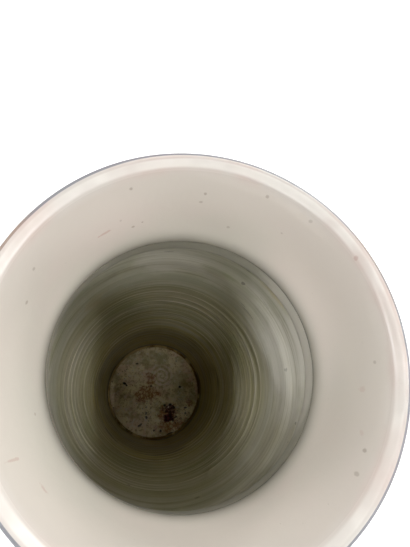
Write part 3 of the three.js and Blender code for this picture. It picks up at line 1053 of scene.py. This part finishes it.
@dataclass
class Joints:
    """The five beds of slip, from the foot up."""

    foot: Joint
    waist: Joint
    shoulder: Joint
    neck: Joint
    mouth: Joint
    bead: float = 0.2 * MM
    bead_steps: int = 8

    @classmethod
    def read(cls) -> "Joints":
        """Reads the joints' places from the frame."""
        return cls(
            Joint.read("foot_slip_seam", "lower_body", 8.9 * MM),
            Joint.read("waist_slip_seam", "upper_body", 8.0 * MM),
            Joint.read("shoulder_slip_seam", "shoulder", 6.5 * MM),
            Joint.read("neck_slip_seam", "neck", 6.5 * MM, -52.0, -44.0),
            Joint.read("mouth_slip_seam", "mouth_rim", 4.5 * MM, 8.0, 16.0),
        )

    def build(self, finishes: Finishes) -> None:
        """Models the slip of the four joints above the foot.

        Args:
            finishes: The vase's materials.
        """
        self._bed("waist", self.waist, finishes.pale, finishes.inner, 0.0)
        self._bed("shoulder", self.shoulder, finishes.pale, finishes.inner, self.bead)
        self._bed("neck", self.neck, finishes.pale, finishes.inner, self.bead)
        self._bed("mouth", self.mouth, finishes.pale, finishes.pale, 0.0)

    def _bed(self, place: str, joint: Joint, outer: Material, inner: Material, bead: float) -> None:
        """One bed of slip.

        Args:
            place: Where in the vase it lies.
            joint: The joint that it fills.
            outer: The finish outside.
            inner: The finish inside.
            bead: How far it stands proud inside.
        """
        outline = Outline(joint.outside(joint.low).radius, joint.low)
        outline.line(joint.outside(joint.high).radius, joint.high)
        outline.line(joint.inside(joint.high).radius, joint.high, 3)
        for step in range(1, self.bead_steps + 1):
            share = step / self.bead_steps
            height = joint.high + (joint.low - joint.high) * share
            outline.line(joint.inside(height).radius - bead * math.sin(math.pi * share) ** 0.5, height)
        add_piece(f"{place}_slip", f"{place}_slip_seam", Slot.SLIP, outline, outer, inner, second=inwards)


@dataclass
class Foot:
    """Foot ring, bed of slip and base disc."""

    joints: Joints
    finishes: Finishes
    groove: float = 2.5 * MM
    bearing: float = 2.4 * MM
    rub: float = 0.5 * MM
    inner_bevel: float = 1.8 * MM
    bevel_width: float = 2.9 * MM
    bevel_height: float = 3.4 * MM
    clearance: float = 0.3 * MM
    slip_below: float = 1.2 * MM
    slip_climb: float = 1.5 * MM
    slip_steps: int = 8
    disc_thickness: float = 5.8 * MM
    crown: float = 1.2 * MM
    crown_rings: int = 64
    edge_round: float = 0.8 * MM
    button: Point = (6.5 * MM, 17.5 * MM)
    button_size: float = 9.0 * MM
    button_height: float = 1.4 * MM

    @property
    def disc_radius(self) -> float:
        """Radius of the base disc."""
        return self.joints.foot.inner - self.groove

    @property
    def ledge_radius(self) -> float:
        """Inner radius of the foot ring."""
        return self.disc_radius - self.bearing

    def build(self) -> None:
        """Models the three pieces."""
        self._ring()
        self._slip()
        self._disc()

    def _ring(self) -> None:
        """The foot ring, its edges rubbed round."""
        joint, rub, ledge = self.joints.foot, self.rub, self.ledge_radius
        rest_inner = ledge + self.inner_bevel
        rest_outer = joint.outer - self.bevel_width
        outline = Outline(rest_inner + rub, 0).line(rest_outer - rub, 0, 4)
        outline.line(rest_outer + 0.4 * rub, 0.35 * rub).line(joint.outer - rub, self.bevel_height - rub, 3)
        outline.line(joint.outer, self.bevel_height + rub).line(joint.outer, joint.low, 3)
        outline.line(ledge, joint.low, 3).line(ledge, self.inner_bevel + rub, 3)
        outline.line(ledge + rub, self.inner_bevel - rub).line(rest_inner - 0.4 * rub, 0.35 * rub, 2)
        add_piece("foot_ring_biscuit", "foot_ring", Slot.BISCUIT, outline, self.finishes.foot)

    def _slip(self) -> None:
        """The bed of slip, squeezed up into the groove round the disc."""
        joint, ledge = self.joints.foot, self.ledge_radius
        top = joint.high + self.disc_thickness - self.slip_below
        near = joint.inner - self.clearance
        far = self.disc_radius + self.clearance
        outline = Outline(ledge, joint.low).line(joint.outer, joint.low, 4).line(joint.outer, joint.high)
        outline.line(near, joint.high, 3)
        for step in range(self.slip_steps + 1):
            share = step / self.slip_steps
            outline.line(near + (far - near) * share, top + self.slip_climb * (1 - share) ** 2)
        outline.line(far, joint.high, 3).line(ledge, joint.high, 2)
        rim = joint.outer - self.clearance
        add_piece("foot_slip", "foot_slip_seam", Slot.SLIP, outline, self.finishes.slip, self.finishes.pale,
                  second=lambda face: math.hypot(face.center.x, face.center.y) > rim)

    def _disc(self) -> None:
        """The base disc, crowned, uneven and with the thrower's button off its centre."""
        bottom = self.joints.foot.high
        edge = bottom + self.disc_thickness
        flat = self.disc_radius - self.edge_round
        outline = Outline(0, bottom).line(self.disc_radius, bottom, 10)
        outline.line(self.disc_radius, edge - self.edge_round, 4)
        outline.arc((flat, edge - self.edge_round), (self.edge_round,) * 2, (0, 90), 5)
        for ring in range(1, self.crown_rings + 1):
            share = 1 - ring / self.crown_rings
            outline.line(flat * share, edge + self.crown * (1 - share**2))
        add_piece("base_disc_floor", "base_disc", Slot.FLOOR, outline, self.finishes.disc, self.finishes.pale,
                  second=lambda face: face.normal.z < -0.5, rules=(self._roughen,))

    def _roughen(self, turn: Array, radius: Array, height: Array) -> tuple[Array, Array]:
        """Roughens the disc's top and leaves its flat underside.

        Args:
            turn: Turns round the axis.
            radius: Radii, in metres.
            height: Heights, in metres.

        Returns:
            New radii and heights.
        """
        angle = TURN * turn
        x, y = radius * np.sin(angle), -radius * np.cos(angle)
        away = np.hypot(x - self.button[0], y - self.button[1])
        spin = np.arctan2(y - self.button[1], x - self.button[0])
        dome = self.button_height * np.exp(-((away / (0.55 * self.button_size)) ** 2))
        curl = 0.28 * MM * np.cos(TURN * away / (4.2 * MM) - spin) * np.exp(-((away / (14 * MM)) ** 2))
        uneven = 0.16 * MM * (np.sin(210 * x + 90 * y + 1) + np.sin(150 * y - 260 * x) * np.cos(330 * y))
        half = self.disc_thickness / 2
        on_top = np.clip((height - self.joints.foot.high - half) / half, 0, 1)
        chipped = 1 - 0.006 * on_top * (1 + np.sin(7 * angle + 1.3) * np.sin(11 * angle - 0.4))
        at_edge = np.where(radius > 0.8 * self.disc_radius, chipped, 1.0)
        lift = (dome + curl + uneven) * np.clip((self.disc_radius - radius) / (6 * MM), 0, 1)
        return radius * at_edge, height + lift * on_top


@dataclass
class Body:
    """Lower body, upper body and shoulder."""

    joints: Joints
    finishes: Finishes
    lean: float = 2.1
    heel_lean: float = 14.0
    heel_height: float = 14.0 * MM
    heel_step: float = 2.2 * MM
    ridge_depth: float = 0.8 * MM
    ridges_above_joint: float = 44.0 * MM
    ridges_below_waist: float = 18.0 * MM
    row: float = 1.0 * MM
    wave_depth: float = 0.35 * MM

    def build(self) -> None:
        """Models the three sections."""
        self._lower()
        self._upper()
        self._shoulder()

    def _add(self, node: str, slot: Slot, outline: Outline, *rules: Rule) -> None:
        """Adds a section that is pale outside and olive inside."""
        add_piece(f"{node}_wall", node, slot, outline, self.finishes.pale, self.finishes.inner, second=inwards,
                  rules=(*rules, waver))

    def _lower(self) -> None:
        """The tall lower section, with the spiral of throwing ridges inside."""
        foot, waist = self.joints.foot, self.joints.waist
        heel = End(foot.outer + self.heel_step, foot.high + self.heel_height, self.lean)
        outline = Outline(foot.outer, foot.high)
        outline.sweep(End(foot.outer, foot.high, self.heel_lean), heel, 8)
        outline.sweep(heel, End(waist.outer, waist.low, self.lean), 24).line(waist.inner, waist.low, 3)
        outline.line(foot.inner, foot.high, round((waist.low - foot.high) / self.row))
        outline.line(foot.outer - MM, foot.high, 3)
        self._add("lower_body", Slot.INNER, outline, self._ridges)

    def _ridges(self, turn: Array, radius: Array, height: Array) -> tuple[Array, Array]:
        """Sharp crests with round hollows between them, climbing one pitch in a turn.

        Args:
            turn: Turns round the axis.
            radius: Radii, in metres.
            height: Heights, in metres.

        Returns:
            New radii, and the heights as they were.
        """
        foot, waist = self.joints.foot, self.joints.waist
        start = foot.high + self.ridges_above_joint
        end = waist.low - self.ridges_below_waist
        wall = foot.inner + (waist.inner - foot.inner) * (height - foot.high) / (waist.low - foot.high)
        inside = np.abs(radius - wall) < 0.2 * MM
        climb = (height - start) / RIDGE_PITCH - turn
        crest = (1 - np.abs(np.sin(math.pi * climb))) ** 2.2
        minor = 0.22 * np.cos(TURN * (3 * climb + 0.2 * np.sin(height * 170))) * np.cos(height * 240 + 1)
        fade = np.clip((height - start) / RIDGE_PITCH, 0, 1) * np.clip((end - height) / RIDGE_PITCH, 0, 1)
        strength = 0.75 + 0.25 * np.sin(height * 95 + 2 * TURN * turn)
        lift = self.ridge_depth * (crest * strength + 0.4 * minor) * fade
        soft = 0.12 * MM * np.sin(height * 430 + TURN * turn) * (1 - fade)
        soft = soft * np.clip(np.minimum(height - foot.high, waist.low - height) / (8 * MM), 0, 1)
        return np.where(inside, radius - lift - soft, radius), height

    def _upper(self) -> None:
        """The upper section, with broad finger waves inside."""
        waist, shoulder = self.joints.waist, self.joints.shoulder
        outline = Outline(waist.outer, waist.high)
        outline.sweep(End(waist.outer, waist.high, self.lean), End(shoulder.outer, shoulder.low), 16)
        outline.line(shoulder.inner, shoulder.low, 3)
        outline.sweep(End(shoulder.inner, shoulder.low), End(waist.inner, waist.high, self.lean), 60)
        outline.line(waist.outer - MM, waist.high, 3)
        self._add("upper_body", Slot.OUTER, outline, self._waves)

    def _waves(self, turn: Array, radius: Array, height: Array) -> tuple[Array, Array]:
        """Three low waves on the inner wall, level at both joints.

        Args:
            turn: Turns round the axis.
            radius: Radii, in metres.
            height: Heights, in metres.

        Returns:
            New radii, and the heights as they were.
        """
        waist = self.joints.waist
        share = (height - waist.high) / (self.joints.shoulder.low - waist.high)
        inside = radius < (waist.inner + waist.outer) / 2
        lift = self.wave_depth * np.sin(math.pi * share) * np.cos(TURN * (3 * share - turn))
        return np.where(inside, radius - lift, radius), height

    def _shoulder(self) -> None:
        """The rounded shoulder."""
        shoulder, neck = self.joints.shoulder, self.joints.neck
        inside = neck.inside(neck.low)
        outline = Outline(shoulder.outer, shoulder.high)
        outline.sweep(End(shoulder.outer, shoulder.high), neck.outside(neck.low), 30)
        outline.line(inside.radius, neck.low, 3).sweep(inside, End(shoulder.inner, shoulder.high), 24)
        self._add("shoulder", Slot.OUTER, outline)


@dataclass
class NeckAndMouth:
    """The waisted neck with its rib, and the dished mouth with its lip."""

    joints: Joints
    finishes: Finishes
    waist_radius: float = 50.8 * MM
    rib_height: float = 4.8 * MM
    rib_depth: float = 1.3 * MM
    rib_below_top: float = 10.6 * MM
    throat_below_top: float = 6.3 * MM
    throat_turn: float = 3.4 * MM
    throat_lean: float = -15.0
    lip_spread: float = 0.5 * MM
    lip_outer_round: float = 1.9 * MM
    lip_inner_round: float = 3.4 * MM
    lip_inner_lean: float = 27.0
    edge_height: float = 10.8 * MM

    def build(self) -> None:
        """Models both sections."""
        self._neck()
        self._mouth()

    def _neck(self) -> None:
        """The neck, with the rib outside and the throat inside."""
        root, mouth = self.joints.neck, self.joints.mouth
        rib = mouth.low - self.rib_below_top
        half = self.rib_height / 2
        start = root.outside(root.high)
        outline = Outline(start.radius, start.height)
        outline.sweep(start, End(self.waist_radius, rib - half), 18)
        outline.arc((self.waist_radius, rib), (self.rib_depth, half), (-90, 90), 12)
        outline.sweep(End(self.waist_radius, rib + half), mouth.outside(mouth.low), 8)
        outline.line(mouth.inside(mouth.low).radius, mouth.low, 3)
        throat = End(THROAT_RADIUS, mouth.low - self.throat_below_top)
        opening = math.tan(math.radians(-self.throat_lean)) * self.throat_turn / 2
        below = End(throat.radius + opening, throat.height - self.throat_turn, self.throat_lean)
        outline.sweep(mouth.inside(mouth.low), throat, 10)
        outline.sweep(throat, below, 8).sweep(below, root.inside(root.high), 24)
        add_piece("neck_wall", "neck", Slot.OUTER, outline, self.finishes.pale, self.finishes.inner,
                  second=lambda face: inwards(face) and face.center.z <= below.height)

    def _mouth(self) -> None:
        """The mouth, from the upright edge over the lip and down its dished inside."""
        joint = self.joints.mouth
        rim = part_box("mouth_rim")[1]
        foot = rim.z - self.lip_outer_round
        edge = rim.x + self.lip_spread
        crest = edge - self.lip_outer_round
        underside = joint.outside(joint.high)
        outline = Outline(underside.radius, underside.height)
        outline.sweep(underside, End(edge, foot - self.edge_height), 18)
        outline.line(edge, foot, 6).arc((crest, foot), (self.lip_outer_round,) * 2, (0, 90), 10)
        inner_centre = (crest, rim.z - self.lip_inner_round)
        outline.arc(inner_centre, (self.lip_inner_round,) * 2, (90, 180 - self.lip_inner_lean), 14)
        outline.sweep(End(*outline.points[-1], self.lip_inner_lean), joint.inside(joint.high), 30)
        add_piece("mouth_lip", "mouth_rim", Slot.OUTER, outline, self.finishes.pale)


def hang(light: bpy.types.Light, target: Vector, way: Vector, distance: float) -> None:
    """Hangs a lamp so that it looks at a target.

    Args:
        light: The lamp's data.
        target: The point that it looks at.
        way: The way from that point to the lamp.
        distance: How far off it hangs.
    """
    lamp = bpy.data.objects.new(light.name, light)
    bpy.context.scene.collection.objects.link(lamp)
    lamp.location = target + way * distance
    lamp.rotation_euler = (-way).to_track_quat("-Z", "Y").to_euler()


@dataclass(frozen=True)
class Lamp:
    """What every lamp has: a name, the way to it by its angles in degrees, and its power."""

    name: str
    azimuth: float
    from_zenith: float
    watts: float

    @property
    def way(self) -> Vector:
        """The way from the vase to the lamp."""
        turn, tip = math.radians(self.azimuth), math.radians(self.from_zenith)
        return Vector((math.cos(turn) * math.sin(tip), math.sin(turn) * math.sin(tip), math.cos(tip)))


@dataclass(frozen=True)
class Softbox(Lamp):
    """A rectangular lamp that looks at the mouth."""

    width: float = 0.4
    height: float = 0.2
    distance: float = 1.1

    def build(self) -> None:
        """Hangs the lamp."""
        light = bpy.data.lights.new(self.name, "AREA")
        light.energy = self.watts
        light.shape = "RECTANGLE"
        light.size = self.width
        light.size_y = self.height
        hang(light, Vector((0, 0, CAD_BOX[1].z)), self.way, self.distance)


@dataclass(frozen=True)
class Beam(Lamp):
    """A narrow lamp that shines past the lip and through the throat onto the inside wall."""

    source: float = 20.0 * MM
    reach: float = 43.0 * MM
    blend: float = 0.5
    distance: float = 1.2
    lip_radius: float = 60.0 * MM
    throat_height: float = 418.7 * MM

    def build(self) -> None:
        """Hangs the lamp, aimed at the middle of the part of the throat that it sees past the lip."""
        rise = CAD_BOX[1].z - self.throat_height
        near = max(-THROAT_RADIUS, rise * math.tan(math.radians(self.from_zenith)) - self.lip_radius)
        light = bpy.data.lights.new(self.name, "SPOT")
        light.energy = self.watts
        light.spot_size = 2 * math.atan(self.reach / self.distance)
        light.spot_blend = self.blend
        light.shadow_soft_size = self.source
        target = -(near + THROAT_RADIUS) / 2 * Vector((self.way.x, self.way.y, 0)).normalized()
        target.z = self.throat_height
        hang(light, target, self.way, self.distance)


@dataclass
class Studio:
    """Floor, daylight, lamps and camera."""

    day: float = 0.2
    floor_size: float = 8.0
    floor_colour: Colour = (0.86, 0.86, 0.86)
    floor_glow: float = 0.45
    view_from: Vector = Vector((-14.58 * MM, -10.64 * MM, 581.1 * MM))
    view_to: Vector = Vector((3.0 * MM, 23.31 * MM, 455.0 * MM))
    view_up: Vector = Vector((0.0, 0.9656, 0.26))
    focal_pixels: float = 470.0
    picture_height: float = 547.0
    lamps: tuple[Softbox | Beam, ...] = (
        Softbox("lamp_east_low", 0, 70, 3.5),
        Softbox("lamp_north_east_low", 60, 70, 5.0),
        Softbox("lamp_north", 90, 45, 2.9),
        Softbox("lamp_north_low", 90, 70, 2.5),
        Softbox("lamp_west_low", 180, 70, 4.3),
        Softbox("lamp_south_west_low", 240, 70, 3.5),
        Softbox("lamp_south", 270, 45, 0.6),
        Softbox("lamp_south_east_low", 300, 70, 1.2),
        Softbox("lamp_south_east", 315, 45, 1.4),
        Softbox("lamp_east_south_low", 330, 70, 3.5),
        Beam("beam_north_top", 90, 8, 2.4),
        Beam("beam_south_top", 270, 8, 5.0),
        Beam("beam_east_top", 0, 14, 9.5),
        Beam("beam_east", 0, 20, 33.0),
        Beam("beam_west_north", 157.5, 25, 15.0),
        Beam("beam_west", 180, 25, 25.0),
        Beam("beam_west_south", 202, 36, 20.4),
        Beam("beam_west_low", 195, 41, 7.6),
        Beam("beam_south_west", 250, 20, 11.0),
        Beam("beam_south_high", 270, 28, 4.8),
        Beam("beam_south", 270, 36, 4.0),
        Beam("beam_south_east", 292, 36, 7.4),
    )

    def build(self) -> None:
        """Sets the stage round the vase."""
        self._floor()
        self._daylight()
        for lamp in self.lamps:
            lamp.build()
        self._camera()

    def _floor(self) -> None:
        """A plain pale floor that glows a little where it is seen directly, so it meets the white behind it."""
        bpy.ops.object.select_all(action="DESELECT")
        bpy.ops.mesh.primitive_plane_add(size=self.floor_size)
        floor = bpy.context.active_object
        floor.name = "studio_floor"
        material = bpy.data.materials.new("studio_floor")
        material.use_nodes = True
        tree = Tree(material.node_tree)
        matt = tree.field("BsdfDiffuse", {"Color": self.floor_colour})
        glow = tree.field("Emission", {"Color": WHITE, "Strength": tree.seen_directly() * self.floor_glow})
        both = tree.field("AddShader", {0: matt, 1: glow})
        tree.fill(tree.tree.nodes["Material Output"], {"Surface": both})
        dress(floor, material)

    def _daylight(self) -> None:
        """An even world that shows white and lights at a plain level."""
        world = bpy.data.worlds.new("daylight")
        world.use_nodes = True
        tree = Tree(world.node_tree)
        level = tree.field("MapRange", {"Value": tree.seen_directly(), "To Min": self.day, "To Max": 1.0})
        tree.fill(tree.tree.nodes["Background"], {"Color": WHITE, "Strength": level})
        bpy.context.scene.world = world

    def _camera(self) -> None:
        """A camera just above the mouth, looking down into it."""
        lens = bpy.data.cameras.new("view")
        lens.sensor_width = 36.0
        lens.lens = self.focal_pixels * lens.sensor_width / self.picture_height
        lens.clip_start = 0.01
        camera = bpy.data.objects.new("view", lens)
        bpy.context.scene.collection.objects.link(camera)
        ahead = (self.view_to - self.view_from).normalized()
        right = ahead.cross(self.view_up).normalized()
        axes = Matrix((right, right.cross(ahead), -ahead)).transposed()
        camera.matrix_world = Matrix.Translation(self.view_from) @ axes.to_4x4()
        bpy.context.scene.camera = camera


def main() -> None:
    """Builds the vase from the foot up, then the studio round it."""
    logging.basicConfig(level=logging.INFO, format="%(message)s")
    finishes = Finishes.make()
    joints = Joints.read()
    Foot(joints, finishes).build()
    Body(joints, finishes).build()
    joints.build(finishes)
    NeckAndMouth(joints, finishes).build()
    Studio().build()
    bpy.context.scene.view_settings.view_transform = "Standard"


if __name__ == "__main__":
    main()
